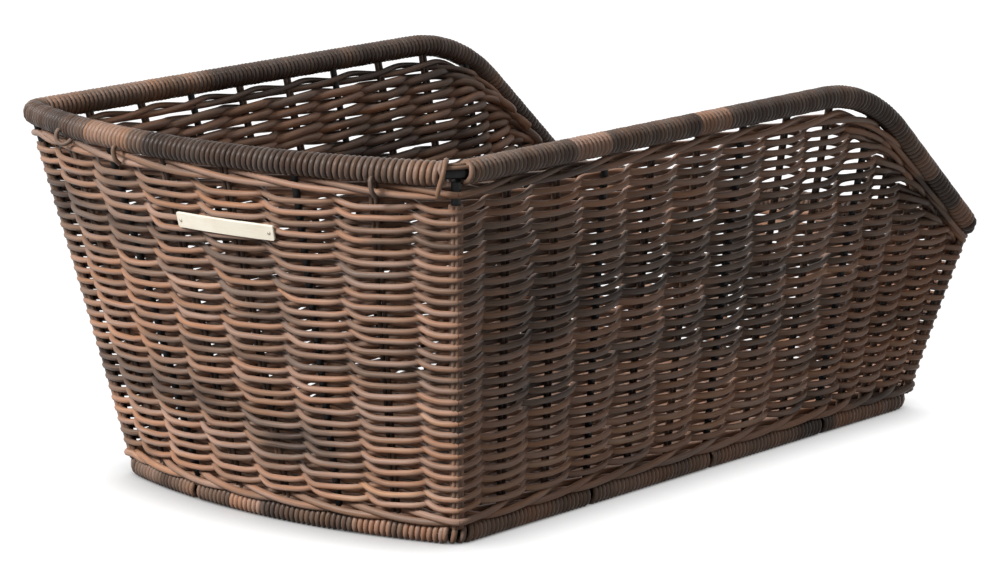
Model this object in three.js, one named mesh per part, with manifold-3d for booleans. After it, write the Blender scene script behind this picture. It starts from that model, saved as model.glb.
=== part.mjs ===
// A woven bicycle basket for the rear carrier: round plastic strand over a frame of steel rods.
// Millimetres, +Z up. The high rear end faces -Y, and the low end under the saddle faces +Y.
// The origin lies under the middle of the basket, on the surface that it stands on.

import * as THREE from 'three';
import { mergeVertices } from 'three/addons/utils/BufferGeometryUtils.js';
import Module from 'manifold-3d';

const wasm = await Module();
wasm.setup();

// Rim loop, to the centre of its rod
const rimWidth = 303;
const rimLength = 458; // from the rear corners to the front corners
const rimBow = 35; // swell of the rear edge
const rimHeight = 204;
const rimFrontHeight = 111;
const rimSlopeLength = 105; // along Y, from the peak to the front corners
const rimPeakRadius = 110;
const rimCornerRadius = 14; // at the rear
const rimFrontCornerRadius = 6;

// Base loop, to the centre of its rod
const baseWidth = 232;
const baseLength = 402;
const baseBow = 21;
const baseRearSetback = 41.5; // from the rim's rear corners to the base's
const baseCornerRadius = 10;

// Steel rods
const loopRodDiameter = 6;
const postDiameter = 5;
const uprightDiameter = 4;
const floorRodDiameter = 5;

// Strand wound round the two loops
const windingPitch = 14.8; // one ridge stands for four turns of the thin strand
const windingDiameter = 13.2;
const windingBore = 8;
const windingGroove = 1.2;
const windingEndGap = 3; // bare rod between a winding and the bend of a corner
const windingRodGap = 6.4; // bare rod where an upright is welded on
const footFlat = 0.5; // worn flat under the base winding

// Woven walls
const wallThickness = 9.6;
const wallGroove = 1.8;
const wallTopInset = 3.5; // from the rim rod's line to the middle of the weave
const wallTopGap = 5; // open gap under the rim winding
const cornerLap = 1.2; // a plain corner strip laps over the ridges by this much
const wallRows = 13; // one ridge stands for two rows of strand
const slopeRowHeight = 2.2; // a row drawn in along the slope of the rim
const stakeWidth = 5.6;
const stakeThickness = 3;
const sideStakes = 12;
const levelStakes = 9; // of those, from the rear corner to the last upright
const slopeBayLength = 98; // along the rim, from the last upright to the front corner
const endStakes = 6;

// Woven floor
const floorThickness = 5;
const floorGroove = 1.5;
const floorRowWidth = 11;

// Name plate
const plateWidth = 62;
const plateHeight = 9.6;
const plateThickness = 1.2;
const plateOffset = 18; // towards +X from the middle of the rear wall
const plateDrop = 38; // below the rim rod
const pinDiameter = 2;
const pinInset = 4; // from the plate's end

// Fits
const clearance = 0.3;

// Facets
const rodSides = 8;
const bowSteps = 10;
const cornerSteps = 4;
const peakSteps = 6;
const slopeColumns = 6;

const rodRadius = loopRodDiameter / 2;
const windingRadius = windingDiameter / 2;
const flatFactor = Math.cos(Math.PI / rodSides); // a facet's middle against its corners
const overallLength = rimBow + rimLength + windingDiameter;
const rimRearY = rimBow + windingRadius - overallLength / 2;
const rimFrontY = rimRearY + rimLength;
const baseRearY = rimRearY + baseRearSetback;
const baseFrontY = baseRearY + baseLength;
const baseHeight = windingRadius * flatFactor - footFlat;
const up = new THREE.Vector3(0, 0, 1);

const materials = {
  steel: { color: 0x17171a, roughness: 0.45, metalness: 0.7 },
  weave: { color: 0x54402f, roughness: 0.5, metalness: 0 },
  winding: { color: 0x4b3a30, roughness: 0.48, metalness: 0 },
  plate: { color: 0xd8cdb2, roughness: 0.38, metalness: 0.6 },
};

const basket = new THREE.Group();

function addPiece(name, geometry, finish) {
  const mesh = new THREE.Mesh(geometry, new THREE.MeshStandardMaterial(materials[finish]));
  mesh.name = name;
  basket.add(mesh);
}

// Closed geometry to a solid that can be joined and cut, and back

function toSolid(geometry) {
  const bare = geometry.clone();
  bare.deleteAttribute('normal');
  bare.deleteAttribute('uv');
  const merged = mergeVertices(bare, 1e-4);
  const index = Array.from(merged.index.array);
  const triVerts = [];
  for (let i = 0; i < index.length; i += 3) {
    const [a, b, c] = index.slice(i, i + 3);
    if (a !== b && b !== c && c !== a) triVerts.push(a, b, c);
  }
  const vertProperties = new Float32Array(merged.attributes.position.array);
  const mesh = new wasm.Mesh({ numProp: 3, vertProperties, triVerts: new Uint32Array(triVerts) });
  return new wasm.Manifold(mesh);
}

function toGeometry(solid) {
  const mesh = solid.getMesh();
  const geometry = new THREE.BufferGeometry();
  geometry.setAttribute('position', new THREE.BufferAttribute(mesh.vertProperties, 3));
  geometry.setIndex(new THREE.BufferAttribute(mesh.triVerts, 1));
  geometry.computeVertexNormals();
  return geometry;
}

function meshFrom(points, faces) {
  const geometry = new THREE.BufferGeometry();
  geometry.setFromPoints(points);
  geometry.setIndex(faces);
  return geometry;
}

// A loop of straight runs with rounded corners, and the run's length at each corner

function roundedLoop(corners) {
  const points = [];
  const marks = {};
  let length = 0;
  const addPoint = (point) => {
    if (points.length) length += point.distanceTo(points.at(-1));
    points.push(point);
  };
  corners.forEach(({ name, point, radius, steps }, i) => {
    const before = corners.at(i - 1).point;
    const after = corners[(i + 1) % corners.length].point;
    if (!radius) {
      addPoint(point.clone());
      return;
    }
    const arriving = point.clone().sub(before).normalize();
    const leaving = after.clone().sub(point).normalize();
    const turn = arriving.angleTo(leaving);
    const start = point.clone().addScaledVector(arriving, -radius * Math.tan(turn / 2));
    const inward = leaving.clone().addScaledVector(arriving, -leaving.dot(arriving)).normalize();
    const centre = start.clone().addScaledVector(inward, radius);
    for (let k = 0; k <= steps; k++) {
      const angle = (turn * k) / steps;
      const onArc = centre.clone().addScaledVector(inward, -radius * Math.cos(angle));
      onArc.addScaledVector(arriving, radius * Math.sin(angle));
      addPoint(onArc);
      if (k === 0) marks[name] = { start: length };
    }
    marks[name].end = length;
  });
  length += points[0].distanceTo(points.at(-1));
  return { points, marks, length };
}

// A point and the frame across the path at a distance along a closed loop

function pointAlong(loop, distance) {
  let left = ((distance % loop.length) + loop.length) % loop.length;
  for (let i = 0; i < loop.points.length; i++) {
    const a = loop.points[i];
    const b = loop.points[(i + 1) % loop.points.length];
    const step = a.distanceTo(b);
    if (left <= step) return a.clone().lerp(b, left / step);
    left -= step;
  }
  return loop.points[0].clone();
}

function frameAlong(loop, distance) {
  const reach = windingRadius / 2;
  const ahead = pointAlong(loop, distance + reach).sub(pointAlong(loop, distance - reach)).normalize();
  const side = new THREE.Vector3().crossVectors(ahead, up).normalize();
  const top = new THREE.Vector3().crossVectors(side, ahead);
  return { origin: pointAlong(loop, distance), side, top };
}

// The swelling rear edge is an arc over its chord

function bowRadius(width, bow) {
  return (width * width) / (8 * bow) + bow / 2;
}

function bowPoint(width, bow, rearY, height, share) {
  const radius = bowRadius(width, bow);
  const angle = Math.asin(width / 2 / radius) * share;
  return new THREE.Vector3(radius * Math.sin(angle), rearY - bow + radius * (1 - Math.cos(angle)), height);
}

function rearCorners(width, bow, rearY, height, radius) {
  const corners = [];
  for (let k = 0; k <= bowSteps; k++) {
    const share = (2 * k) / bowSteps - 1;
    const corner = { point: bowPoint(width, bow, rearY, height, share) };
    if (k === 0) Object.assign(corner, { name: 'rearLeft', radius, steps: cornerSteps });
    if (k === bowSteps) Object.assign(corner, { name: 'rearRight', radius, steps: cornerSteps });
    corners.push(corner);
  }
  return corners;
}

const rimPeakY = rimFrontY - rimSlopeLength;

function loopCorner(name, x, y, height, radius, steps) {
  return { name, point: new THREE.Vector3(x, y, height), radius, steps };
}

const rimLoop = roundedLoop([
  ...rearCorners(rimWidth, rimBow, rimRearY, rimHeight, rimCornerRadius),
  loopCorner('peakRight', rimWidth / 2, rimPeakY, rimHeight, rimPeakRadius, peakSteps),
  loopCorner('frontRight', rimWidth / 2, rimFrontY, rimFrontHeight, rimFrontCornerRadius, cornerSteps),
  loopCorner('frontLeft', -rimWidth / 2, rimFrontY, rimFrontHeight, rimFrontCornerRadius, cornerSteps),
  loopCorner('peakLeft', -rimWidth / 2, rimPeakY, rimHeight, rimPeakRadius, peakSteps),
]);

const baseLoop = roundedLoop([
  ...rearCorners(baseWidth, baseBow, baseRearY, baseHeight, baseCornerRadius),
  loopCorner('frontRight', baseWidth / 2, baseFrontY, baseHeight, baseCornerRadius, cornerSteps),
  loopCorner('frontLeft', -baseWidth / 2, baseFrontY, baseHeight, baseCornerRadius, cornerSteps),
]);

// Rod loops: round rods bent along their loops and closed on themselves

class StationCurve extends THREE.Curve {
  constructor(points) {
    super();
    this.points = points;
  }

  station(u) {
    const count = this.points.length;
    return this.points[((Math.round(u * count) % count) + count) % count];
  }

  getPointAt(u) {
    return this.station(u).clone();
  }

  getTangentAt(u) {
    const step = 1 / this.points.length;
    const before = this.station(u).clone().sub(this.station(u - step)).normalize();
    const after = this.station(u + step).clone().sub(this.station(u)).normalize();
    return before.add(after).normalize();
  }
}

function bentRod(loop) {
  const curve = new StationCurve(loop.points);
  return toGeometry(toSolid(new THREE.TubeGeometry(curve, loop.points.length, rodRadius, rodSides, true)));
}

// Straight rods between two points

function straightRod(from, to, radius) {
  const rod = new THREE.CylinderGeometry(radius, radius, from.distanceTo(to), rodSides);
  const direction = to.clone().sub(from).normalize();
  rod.applyQuaternion(new THREE.Quaternion().setFromUnitVectors(new THREE.Vector3(0, 1, 0), direction));
  const middle = from.clone().add(to).multiplyScalar(0.5);
  return rod.translate(middle.x, middle.y, middle.z);
}

function distanceToLoop(loop, point) {
  const closest = new THREE.Vector3();
  const line = new THREE.Line3();
  let least = Infinity;
  loop.points.forEach((start, i) => {
    line.set(start, loop.points[(i + 1) % loop.points.length]);
    line.closestPointToPoint(point, true, closest);
    least = Math.min(least, closest.distanceTo(point));
  });
  return least;
}

// How far a rod of this radius runs from a point towards a loop before its end face meets what is there

function seatOn(loop, loopRadius, from, towards, radius) {
  const direction = towards.clone().sub(from);
  const reach = direction.length();
  direction.normalize();
  const across = new THREE.Vector3().crossVectors(direction, up).normalize();
  const along = new THREE.Vector3().crossVectors(direction, across);
  const clear = (distance) => {
    const end = from.clone().addScaledVector(direction, distance);
    for (let k = 0; k < rodSides; k++) {
      const angle = (2 * Math.PI * k) / rodSides;
      const edge = end.clone().addScaledVector(across, radius * Math.cos(angle));
      edge.addScaledVector(along, radius * Math.sin(angle));
      if (distanceToLoop(loop, edge) < loopRadius + clearance) return false;
    }
    return distanceToLoop(loop, end) >= loopRadius + clearance;
  };
  let low = 0;
  let high = reach;
  for (let k = 0; k < 30; k++) {
    const middle = (low + high) / 2;
    if (clear(middle)) low = middle;
    else high = middle;
  }
  return from.clone().addScaledVector(direction, low);
}

// Walls: the weave lies on lines from the base loop to the rim loop

const rimSlope = Math.atan2(rimHeight - rimFrontHeight, rimSlopeLength);
const rimPeakStart = rimPeakY - rimPeakRadius * Math.tan(rimSlope / 2);
const rimPeakEnd = rimPeakStart + rimPeakRadius * Math.sin(rimSlope);

function rimHeightAt(y) {
  if (y <= rimPeakStart) return rimHeight;
  if (y >= rimPeakEnd) return rimHeight - (y - rimPeakY) * Math.tan(rimSlope);
  return rimHeight - rimPeakRadius + Math.sqrt(rimPeakRadius ** 2 - (y - rimPeakStart) ** 2);
}

const headWidth = rimWidth - 2 * wallTopInset;
const headRearY = rimRearY + wallTopInset;
const headFrontY = rimFrontY - wallTopInset;

const wallLines = {
  rear: (share) => ({
    foot: bowPoint(baseWidth, baseBow, baseRearY, baseHeight, 2 * share - 1),
    head: bowPoint(headWidth, rimBow, headRearY, rimHeight, 2 * share - 1),
  }),
  right: (share) => sideLine(share, 1),
  front: (share) => ({
    foot: new THREE.Vector3((baseWidth / 2) * (1 - 2 * share), baseFrontY, baseHeight),
    head: new THREE.Vector3((headWidth / 2) * (1 - 2 * share), headFrontY, rimHeightAt(headFrontY)),
  }),
  left: (share) => sideLine(1 - share, -1),
};

function sideLine(share, side) {
  const footY = THREE.MathUtils.lerp(baseRearY, baseFrontY, share);
  const headY = THREE.MathUtils.lerp(headRearY, headFrontY, share);
  return {
    foot: new THREE.Vector3((side * baseWidth) / 2, footY, baseHeight),
    head: new THREE.Vector3((side * headWidth) / 2, headY, rimHeightAt(headY)),
  };
}

const wallOrder = ['rear', 'right', 'front', 'left'];

function wallNormal(wall, share) {
  const step = 0.001;
  const near = wallLines[wall](Math.max(share - step, 0)).foot;
  const far = wallLines[wall](Math.min(share + step, 1)).foot;
  const { foot, head } = wallLines[wall](share);
  return new THREE.Vector3().crossVectors(far.sub(near), head.sub(foot)).normalize();
}

const wallBottom = baseHeight + windingRadius + clearance;
const wallTopDrop = windingRadius + wallTopGap;
const fullTop = rimHeight - wallTopDrop;

// Heights of the ridges and grooves of the rows, drawn in under the slope of the rim

function rowHeights(wall, top) {
  const rowHeight = (fullTop - wallBottom) / wallRows;
  const rows = wall === 'front' ? Math.round((top - wallBottom) / rowHeight) : wallRows;
  const heights = [];
  for (let i = 0; i <= 2 * rows; i++) {
    const level = THREE.MathUtils.lerp(wallBottom, wall === 'front' ? top : fullTop, i / (2 * rows));
    const drawnIn = top - ((2 * rows - i) * slopeRowHeight) / 2;
    heights.push(Math.min(level, drawnIn));
  }
  return heights;
}

// A section across a wall: ridged by the rows, or plain where the weave turns a corner

function wallSection(wall, share, ridged) {
  const { foot, head } = wallLines[wall](share);
  const normal = wallNormal(wall, share);
  const shift = new THREE.Vector3();
  let innerStretch = 1;
  if (share === 0 || share === 1) {
    const turn = wallOrder.indexOf(wall) + (share === 0 ? 3 : 1);
    const neighbour = wallNormal(wallOrder[turn % 4], 1 - share);
    const bisector = normal.clone().add(neighbour).normalize();
    innerStretch = 1 / bisector.dot(normal);
    const rise = head.clone().sub(foot);
    shift.crossVectors(rise, bisector).normalize().multiplyScalar(clearance * (share === 0 ? 0.5 : -0.5));
    normal.copy(bisector);
  }
  const ringAt = (height, groove, side) => {
    const half = wallThickness / 2 - groove;
    const point = foot.clone().lerp(head, (height - foot.z) / (head.z - foot.z));
    return point.addScaledVector(normal, side > 0 ? half : -half * innerStretch).add(shift);
  };
  const top = head.z - wallTopDrop;
  const heights = ridged ? rowHeights(wall, top) : [wallBottom, top];
  const groove = (i) => (ridged ? ((i + 1) % 2) * wallGroove : wallGroove / 2);
  const outer = heights.map((height, i) => ringAt(height, groove(i), 1));
  const inner = heights.map((height, i) => ringAt(height, groove(i), -1));
  return [...outer, ...inner.reverse()];
}

// A solid through a row of sections, each a ring with the same number of points

function loft(sections) {
  const count = sections[0].length;
  const faces = [];
  for (let s = 0; s + 1 < sections.length; s++) {
    for (let i = 0; i < count; i++) {
      const a = s * count + i;
      const b = s * count + ((i + 1) % count);
      faces.push(a, a + count, b, b, a + count, b + count);
    }
  }
  const last = (sections.length - 1) * count;
  for (let i = 0; i < count / 2 - 1; i++) {
    const j = count - 1 - i;
    faces.push(i, i + 1, j, j, i + 1, j - 1);
    faces.push(last + i, last + j, last + i + 1, last + i + 1, last + j, last + j - 1);
  }
  return meshFrom(sections.flat(), faces);
}

function wallPanel(wall) {
  const shares = ridgedShares(wall);
  const ridged = toSolid(loft(shares.map((share) => wallSection(wall, share, true))));
  const turn = cornerLap * shares[0];
  const turns = [[0, turn], [1 - turn, 1]].map((ends) => {
    return toSolid(loft(ends.map((share) => wallSection(wall, share, false))));
  });
  return ridged.add(turns[0]).add(turns[1]);
}

function ridgedShares(wall) {
  const length = wall === 'rear' || wall === 'front' ? headWidth : rimLength;
  const turn = wallThickness / length;
  const shares = [turn];
  if (wall === 'rear') {
    for (let k = 1; k <= endStakes; k++) shares.push(stakeShare(wall, k));
  }
  if (wall === 'left' || wall === 'right') {
    const slopeShare = (rimFrontY - rimPeakStart) / rimLength;
    for (let k = 0; k < slopeColumns; k++) shares.push(1 - slopeShare * (1 - k / slopeColumns));
  }
  shares.push(1 - turn);
  return wall === 'left' ? shares.map((share) => 1 - share).reverse() : shares;
}

// Stakes stand at even steps, and closer together under the slope. Every third one is a steel upright.

function sideStakeShare(fromRear) {
  const lastUpright = 1 - slopeBayLength / rimLength;
  if (fromRear <= levelStakes) return (lastUpright * fromRear) / levelStakes;
  const beyond = (fromRear - levelStakes) / (sideStakes + 1 - levelStakes);
  return THREE.MathUtils.lerp(lastUpright, 1, beyond);
}

function stakeShare(wall, k) {
  if (wall === 'right') return sideStakeShare(k);
  if (wall === 'left') return 1 - sideStakeShare(sideStakes + 1 - k);
  return k / (endStakes + 1);
}

function isSteel(wall, k) {
  if (wall === 'rear' || wall === 'front') return k === 2 || k === endStakes - 1;
  const fromRear = wall === 'left' ? sideStakes + 1 - k : k;
  return fromRear % 3 === 0 && fromRear <= levelStakes;
}

function rodBetweenLoops({ foot, head }, diameter) {
  const middle = foot.clone().lerp(head, 0.5);
  const low = seatOn(baseLoop, rodRadius, middle, foot, diameter / 2);
  const high = seatOn(rimLoop, rodRadius, middle, head, diameter / 2);
  return { low, high, diameter };
}

function channelFor({ low, high, diameter }) {
  const beyond = high.clone().sub(low).setLength(loopRodDiameter);
  const radius = (diameter / 2 + clearance) / flatFactor;
  return toSolid(straightRod(low.clone().sub(beyond), high.clone().add(beyond), radius));
}

const frameRods = {};
const steelLines = { rear: [], right: [], front: [], left: [] };

wallOrder.forEach((wall) => {
  const count = wall === 'rear' || wall === 'front' ? endStakes : sideStakes;
  let number = 0;
  for (let k = 1; k <= count; k++) {
    if (!isSteel(wall, k)) continue;
    number += 1;
    const line = wallLines[wall](stakeShare(wall, k));
    frameRods[`${wall}_upright_${number}`] = rodBetweenLoops(line, uprightDiameter);
    steelLines[wall].push(line);
  }
});

const cornerNames = { rear: 'rear_left', right: 'rear_right', front: 'front_right', left: 'front_left' };

wallOrder.forEach((wall) => {
  frameRods[`corner_post_${cornerNames[wall]}`] = rodBetweenLoops(wallLines[wall](0), postDiameter);
});

const channels = Object.values(frameRods).map(channelFor);

function strandStake(wall, k) {
  const { foot, head } = wallLines[wall](stakeShare(wall, k));
  const middle = foot.clone().lerp(head, 0.5);
  const high = seatOn(rimLoop, windingRadius, middle, head, stakeWidth / 2);
  const length = middle.distanceTo(high);
  const rod = new THREE.BoxGeometry(stakeWidth, stakeThickness, length).translate(0, 0, length / 2);
  const normal = wallNormal(wall, stakeShare(wall, k));
  const rise = high.clone().sub(middle).normalize();
  const along = new THREE.Vector3().crossVectors(normal, rise).normalize();
  const facing = new THREE.Vector3().crossVectors(rise, along);
  rod.applyMatrix4(new THREE.Matrix4().makeBasis(along, facing, rise).setPosition(middle));
  return toSolid(rod);
}

// Name plate and the two pins that hold it through the rear wall

const plateShare = 0.5 + plateOffset / headWidth;
const plateLine = wallLines.rear(plateShare);
const plateRise = (rimHeight - plateDrop - plateLine.foot.z) / (plateLine.head.z - plateLine.foot.z);
const plateNormal = wallNormal('rear', plateShare);
const plateUp = plateLine.head.clone().sub(plateLine.foot).normalize();
const plateAlong = new THREE.Vector3().crossVectors(plateNormal, plateUp).normalize(); // towards -X
const plateBow = plateWidth ** 2 / 8 / bowRadius(headWidth, rimBow); // swell of the wall behind the plate
const plateSeat = wallThickness / 2 + clearance + plateBow / 4;
const plateFrame = new THREE.Matrix4().makeBasis(plateAlong, plateNormal, plateUp);
plateFrame.setPosition(plateLine.foot.clone().lerp(plateLine.head, plateRise));

function pinAt(side, radius, from, to) {
  const x = side * (plateWidth / 2 - pinInset);
  const pin = straightRod(new THREE.Vector3(x, from, 0), new THREE.Vector3(x, to, 0), radius);
  return pin.applyMatrix4(plateFrame);
}

function pinHole(side) {
  const radius = (pinDiameter / 2 + clearance) / flatFactor;
  return toSolid(pinAt(side, radius, -wallThickness, plateSeat + wallThickness));
}

const pinHoles = [pinHole(-1), pinHole(1)];
const plate = new THREE.BoxGeometry(plateWidth, plateThickness, plateHeight);
plate.translate(0, plateSeat + plateThickness / 2, 0).applyMatrix4(plateFrame);

// Windings: a ridge that climbs round the rod without a break, over a bore for the rod

function woundStrand(loop, from, to) {
  const turns = Math.round((to - from) / windingPitch);
  const pitch = (to - from) / turns;
  const rings = 2 * turns;
  const points = [];
  const faces = [];
  const around = (distance, j, radius) => {
    const { origin, side, top } = frameAlong(loop, distance);
    const angle = (2 * Math.PI * (j + 0.5)) / rodSides;
    origin.addScaledVector(side, radius * Math.cos(angle));
    return origin.addScaledVector(top, radius * Math.sin(angle));
  };
  for (let k = -2; k <= rings; k++) {
    for (let j = 0; j < rodSides; j++) {
      const distance = from + pitch * (k / 2 + j / rodSides);
      const inside = distance > from && distance < to;
      const radius = inside && k % 2 ? windingRadius : windingRadius - windingGroove;
      points.push(around(THREE.MathUtils.clamp(distance, from, to), j, radius));
    }
  }
  const outer = (k, j) => {
    const ring = j === rodSides ? k + 2 : k;
    return (Math.min(ring, rings) + 2) * rodSides + (j % rodSides);
  };
  for (let k = -2; k < rings; k++) {
    for (let j = 0; j < rodSides; j++) {
      const quad = [outer(k, j), outer(k + 1, j), outer(k + 1, j + 1), outer(k, j + 1)];
      faces.push(quad[0], quad[1], quad[2], quad[0], quad[2], quad[3]);
    }
  }
  const boreStart = points.length;
  const boreRings = boreStations(loop, from, to);
  boreRings.forEach((distance) => {
    for (let j = 0; j < rodSides; j++) points.push(around(distance, j, windingBore / 2));
  });
  const bore = (ring, j) => boreStart + ring * rodSides + (j % rodSides);
  const last = boreRings.length - 1;
  for (let j = 0; j < rodSides; j++) {
    for (let ring = 0; ring < last; ring++) {
      const quad = [bore(ring, j), bore(ring, j + 1), bore(ring + 1, j + 1), bore(ring + 1, j)];
      faces.push(quad[0], quad[1], quad[2], quad[0], quad[2], quad[3]);
    }
    const near = [outer(-2, j), outer(-2, j + 1), bore(0, j + 1), bore(0, j)];
    const far = [outer(rings, j), bore(last, j), bore(last, j + 1), outer(rings, j + 1)];
    faces.push(near[0], near[1], near[2], near[0], near[2], near[3]);
    faces.push(far[0], far[1], far[2], far[0], far[2], far[3]);
  }
  return toSolid(meshFrom(points, faces));
}

// The bore follows the rod's own bends

function boreStations(loop, from, to) {
  const stations = [from];
  let distance = 0;
  loop.points.forEach((point, i) => {
    if (i > 0) distance += point.distanceTo(loop.points[i - 1]);
    [distance, distance + loop.length].forEach((at) => {
      if (at > from + rodRadius && at < to - rodRadius) stations.push(at);
    });
  });
  return [...stations.sort((a, b) => a - b), to];
}

function cutBy(solid, cutters) {
  return cutters.reduce((left, cutter) => left.subtract(cutter), solid);
}

// A wall's winding lies in runs between its corners and its steel uprights

function distanceAlong(loop, target) {
  let least = Infinity;
  let place = 0;
  let passed = 0;
  loop.points.forEach((start, i) => {
    const line = new THREE.Line3(start, loop.points[(i + 1) % loop.points.length]);
    const share = line.closestPointToPointParameter(target, true);
    const gap = line.at(share, new THREE.Vector3()).distanceTo(target);
    if (gap < least) {
      least = gap;
      place = passed + share * line.distance();
    }
    passed += line.distance();
  });
  return place;
}

function windingRuns(loop, start, end, welds) {
  const breaks = welds.map(({ at, towards }) => {
    const inside = at.clone().add(towards.clone().sub(at).setLength(windingRadius));
    return [distanceAlong(loop, at), distanceAlong(loop, inside)].sort((a, b) => a - b);
  });
  const starts = [start + windingEndGap, ...breaks.map(([, last]) => last + windingRodGap / 2)];
  const ends = [...breaks.map(([first]) => first - windingRodGap / 2), end - windingEndGap];
  return starts.map((from, k) => [from, ends[k]]);
}

// Each floor rod runs from one side upright's foot to the other's

const floorRods = {};

steelLines.right.forEach(({ foot }, k) => {
  const middle = new THREE.Vector3(0, foot.y, baseHeight);
  const high = seatOn(baseLoop, rodRadius, middle, foot, floorRodDiameter / 2);
  const low = new THREE.Vector3(-high.x, high.y, high.z);
  floorRods[`floor_rod_${k + 1}`] = { low, high, diameter: floorRodDiameter };
});

// The woven floor lies on the floor rods, between the base windings

const floorInset = windingRadius + clearance;
const floorBottom = baseHeight + floorRodDiameter / 2 + clearance;

function floorHalfWidth(y) {
  const radius = bowRadius(baseWidth, baseBow) - floorInset;
  const offCentre = baseRearY - baseBow + bowRadius(baseWidth, baseBow) - y;
  if (offCentre >= radius) return 0;
  const inBow = offCentre > 0 ? Math.sqrt(radius ** 2 - offCentre ** 2) : Infinity;
  return Math.min(baseWidth / 2 - floorInset, inBow);
}

function wovenFloor() {
  const rear = baseRearY - baseBow + floorInset + floorGroove;
  const front = baseFrontY - floorInset;
  const rows = Math.round((front - rear) / floorRowWidth);
  const sections = [];
  for (let i = 0; i <= 2 * rows; i++) {
    const y = THREE.MathUtils.lerp(rear, front, i / (2 * rows));
    const half = floorHalfWidth(y);
    const sunk = i % 2 ? 0 : floorGroove;
    const low = floorBottom + sunk;
    const high = floorBottom + floorThickness - sunk;
    sections.push([
      new THREE.Vector3(half, y, low),
      new THREE.Vector3(half, y, high),
      new THREE.Vector3(-half, y, high),
      new THREE.Vector3(-half, y, low),
    ]);
  }
  return toSolid(loft(sections));
}

// Assembly

addPiece('rim_rod', bentRod(rimLoop), 'steel');
addPiece('base_rod', bentRod(baseLoop), 'steel');

Object.entries({ ...frameRods, ...floorRods }).forEach(([name, { low, high, diameter }]) => {
  addPiece(name, straightRod(low, high, diameter / 2), 'steel');
});

wallOrder.forEach((wall) => {
  let panel = wallPanel(wall);
  const count = wall === 'rear' || wall === 'front' ? endStakes : sideStakes;
  for (let k = 1; k <= count; k++) {
    if (!isSteel(wall, k)) panel = panel.add(strandStake(wall, k));
  }
  panel = cutBy(panel, wall === 'rear' ? [...channels, ...pinHoles] : channels);
  addPiece(`woven_wall_${wall}`, toGeometry(panel), 'weave');
});

addPiece('woven_floor', toGeometry(wovenFloor()), 'weave');

const cornerBefore = { rear: 'rearLeft', right: 'rearRight', front: 'frontRight', left: 'frontLeft' };
const cornerAfter = { rear: 'rearRight', right: 'frontRight', front: 'frontLeft', left: 'rearLeft' };
const ground = new THREE.BoxGeometry(2 * baseWidth, 2 * baseLength, windingDiameter);
const groundSolid = toSolid(ground.translate(0, 0, -windingDiameter / 2));

function windRound(loopName, loop, end, otherEnd, cutters) {
  wallOrder.forEach((wall) => {
    const start = loop.marks[cornerBefore[wall]].end;
    const onward = wall === 'left' ? loop.length : 0; // the last wall runs past the loop's first point
    const stop = loop.marks[cornerAfter[wall]].start + onward;
    const welds = steelLines[wall].map((line) => ({ at: line[end], towards: line[otherEnd] }));
    windingRuns(loop, start, stop, welds).forEach(([from, to], k) => {
      const winding = cutBy(woundStrand(loop, from, to), cutters);
      addPiece(`${loopName}_winding_${wall}_${k + 1}`, toGeometry(winding), 'winding');
    });
  });
}

windRound('rim', rimLoop, 'head', 'foot', []);
windRound('base', baseLoop, 'foot', 'head', [groundSolid]);

addPiece('name_plate', plate, 'plate');
[-1, 1].forEach((side) => {
  const pin = pinAt(side, pinDiameter / 2, -wallThickness / 2, plateSeat - clearance);
  addPiece(side > 0 ? 'plate_pin_left' : 'plate_pin_right', pin, 'steel');
});

export default basket;
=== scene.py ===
import math
import bpy
import numpy as np
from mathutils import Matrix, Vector


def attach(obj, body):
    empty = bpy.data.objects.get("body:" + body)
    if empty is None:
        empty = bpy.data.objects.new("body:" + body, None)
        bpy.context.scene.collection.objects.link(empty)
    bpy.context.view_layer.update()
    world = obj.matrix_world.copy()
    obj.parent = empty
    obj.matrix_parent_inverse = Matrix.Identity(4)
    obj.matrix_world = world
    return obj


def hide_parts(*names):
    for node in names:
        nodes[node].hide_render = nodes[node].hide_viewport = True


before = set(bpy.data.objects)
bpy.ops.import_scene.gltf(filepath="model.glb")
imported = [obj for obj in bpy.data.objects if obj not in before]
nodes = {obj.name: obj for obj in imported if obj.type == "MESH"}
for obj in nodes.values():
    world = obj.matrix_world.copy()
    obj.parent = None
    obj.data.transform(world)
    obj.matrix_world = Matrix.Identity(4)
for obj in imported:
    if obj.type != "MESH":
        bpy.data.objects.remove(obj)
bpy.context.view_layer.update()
metre = 0.001  # the values below are in millimetres

basketForm = {  # to the middles of the rim rod and the base rod
    "rimWidth": 303.0,
    "rimBow": 35.0,
    "rimRear": -211.5,
    "rimFront": 246.5,
    "rimPeak": 141.5,
    "rimHeight": 204.0,
    "rimFrontHeight": 111.0,
    "rimPeakRadius": 110.0,
    "rimCornerRadius": 14.0,
    "rimFrontCornerRadius": 6.0,
    "baseWidth": 232.0,
    "baseBow": 21.0,
    "baseRear": -170.0,
    "baseFront": 232.0,
    "baseHeight": 5.6,
    "baseCornerRadius": 10.0,
    "wallInset": 3.5,
    "wallFlare": 2.4,  # how far the weave swings out again below the rim
    "endStakes": 6,
    "levelStakes": 9,
    "slopeStakes": 3,
    "slopeBay": 98.0,
    "steelStakes": {"rear": (2, 5), "right": (3, 6, 9), "front": (2, 5), "left": (4, 7, 10)},
}
wallOrder = ("rear", "right", "front", "left")
wallHand = {"rear": -1, "right": 1, "front": 1, "left": 1}  # which way the pairs of strands are twisted


def bowPoint(width, bow, rear, height, share):
    radius = width ** 2 / (8 * bow) + bow / 2
    angle = math.asin(width / 2 / radius) * np.asarray(share, float)
    return np.stack([radius * np.sin(angle), rear - bow + radius * (1 - np.cos(angle)), height + 0 * angle], -1)


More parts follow.
